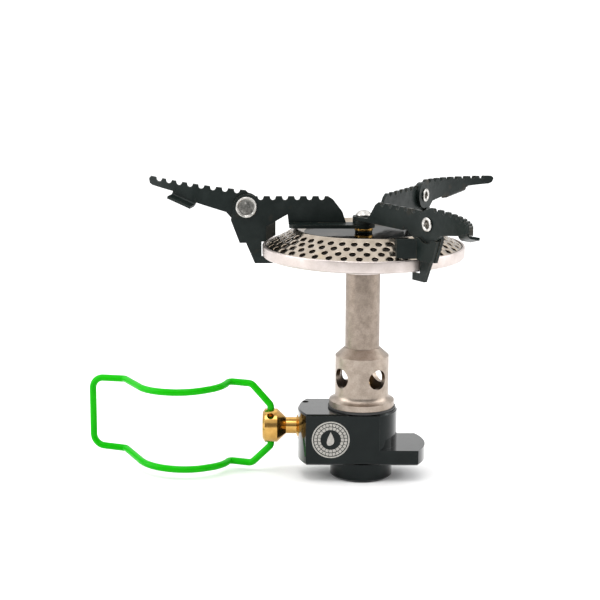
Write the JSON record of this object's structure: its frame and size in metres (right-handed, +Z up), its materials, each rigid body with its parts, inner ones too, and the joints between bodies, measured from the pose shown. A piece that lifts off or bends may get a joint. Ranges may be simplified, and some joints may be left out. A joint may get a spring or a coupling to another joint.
{
  "type": "camping stove",
  "caption": "Folding canister stove: black valve body, brass spindle with a green wire handle, steel stem, perforated burner and swivelling toothed pot supports.",
  "frame": {"origin": "centre of the threaded boss's mouth, on the burner axis", "axes": "+Z up the burner axis, -X along the valve spindle towards the wire handle"},
  "size_m": [0.1218, 0.1063, 0.0852],
  "materials": {
    "black_anodised": "satin black anodising",
    "brass": "turned and polished",
    "sintered_bronze": "sintered",
    "green_wire": "gloss powder coat",
    "brushed_steel": "turned, fine circular brushing",
    "bright_steel": "bright pressed stainless sheet",
    "blackened_steel": "satin blackened sheet",
    "rivet_steel": "bright",
    "seal_rubber": "moulded"
  },
  "bodies": {
    "stove": {"valve_body": "black_anodised", "gland_pin": "rivet_steel", "canister_seal": "seal_rubber", "valve_probe": "brass", "gas_filter": "sintered_bronze", "spindle_gland": "brass", "jet": "brass", "flange_gasket": "seal_rubber", "mixing_chamber": "brushed_steel", "burner_stem": "brushed_steel", "burner_bowl": "bright_steel", "burner_plate": "bright_steel", "pivot_post": "rivet_steel", "pivot_spacer": "brass", "pivot_nut": "rivet_steel"},
    "spindle_carrier": {"spindle_seal": "seal_rubber"},
    "spindle": {"spindle": "brass"},
    "handle": {"wire_handle": "green_wire"},
    "arm_left": {"support_arm_left": "blackened_steel", "blade_rivet_left": "rivet_steel"},
    "blade_left": {"support_blade_left": "blackened_steel"},
    "arm_back": {"support_arm_back": "blackened_steel", "blade_rivet_back": "rivet_steel"},
    "blade_back": {"support_blade_back": "blackened_steel"},
    "arm_front": {"support_arm_front": "blackened_steel", "blade_rivet_front": "rivet_steel"},
    "blade_front": {"support_blade_front": "blackened_steel"}
  },
  "joints": [
    {"name": "valve_travel", "type": "slide", "parent": "stove", "child": "spindle_carrier", "axis": [-1, 0, 0], "range_m": [0, 0.00121]},
    {"name": "valve_turn", "type": "hinge", "parent": "spindle_carrier", "child": "spindle", "pos_m": [-0.0261, 0, 0.01445], "axis": [-1, 0, 0], "range_deg": [0, 720]},
    {"name": "handle_swing", "type": "hinge", "parent": "spindle", "child": "handle", "pos_m": [-0.0261, 0, 0.01445], "axis": [0, 0, 1], "range_deg": [-161, 110]},
    {"name": "swivel_left", "type": "hinge", "parent": "stove", "child": "arm_left", "pos_m": [0, 0, 0.07235], "axis": [0, 0, 1], "range_deg": [-20, 10]},
    {"name": "fold_left", "type": "hinge", "parent": "arm_left", "child": "blade_left", "pos_m": [-0.03306, 0.00177, 0.07774], "axis": [-0.0262, 0.9997, 0], "range_deg": [-8.5, 156.5]},
    {"name": "swivel_back", "type": "hinge", "parent": "stove", "child": "arm_back", "pos_m": [0, 0, 0.07235], "axis": [0, 0, 1], "range_deg": [-40, 30]},
    {"name": "fold_back", "type": "hinge", "parent": "arm_back", "child": "blade_back", "pos_m": [0.01825, 0.02762, 0.07774], "axis": [0.8755, -0.4833, 0], "range_deg": [0, 165]},
    {"name": "swivel_front", "type": "hinge", "parent": "stove", "child": "arm_front", "pos_m": [0, 0, 0.07235], "axis": [0, 0, 1], "range_deg": [-75, 25]},
    {"name": "fold_front", "type": "hinge", "parent": "arm_front", "child": "blade_front", "pos_m": [0.01652, -0.02869, 0.07774], "axis": [-0.8241, -0.5664, 0], "range_deg": [-1, 164]}
  ],
  "couplings": [
    {"joint": "valve_travel", "follows": "valve_turn", "m_per_rad": 0.000095493}
  ]
}
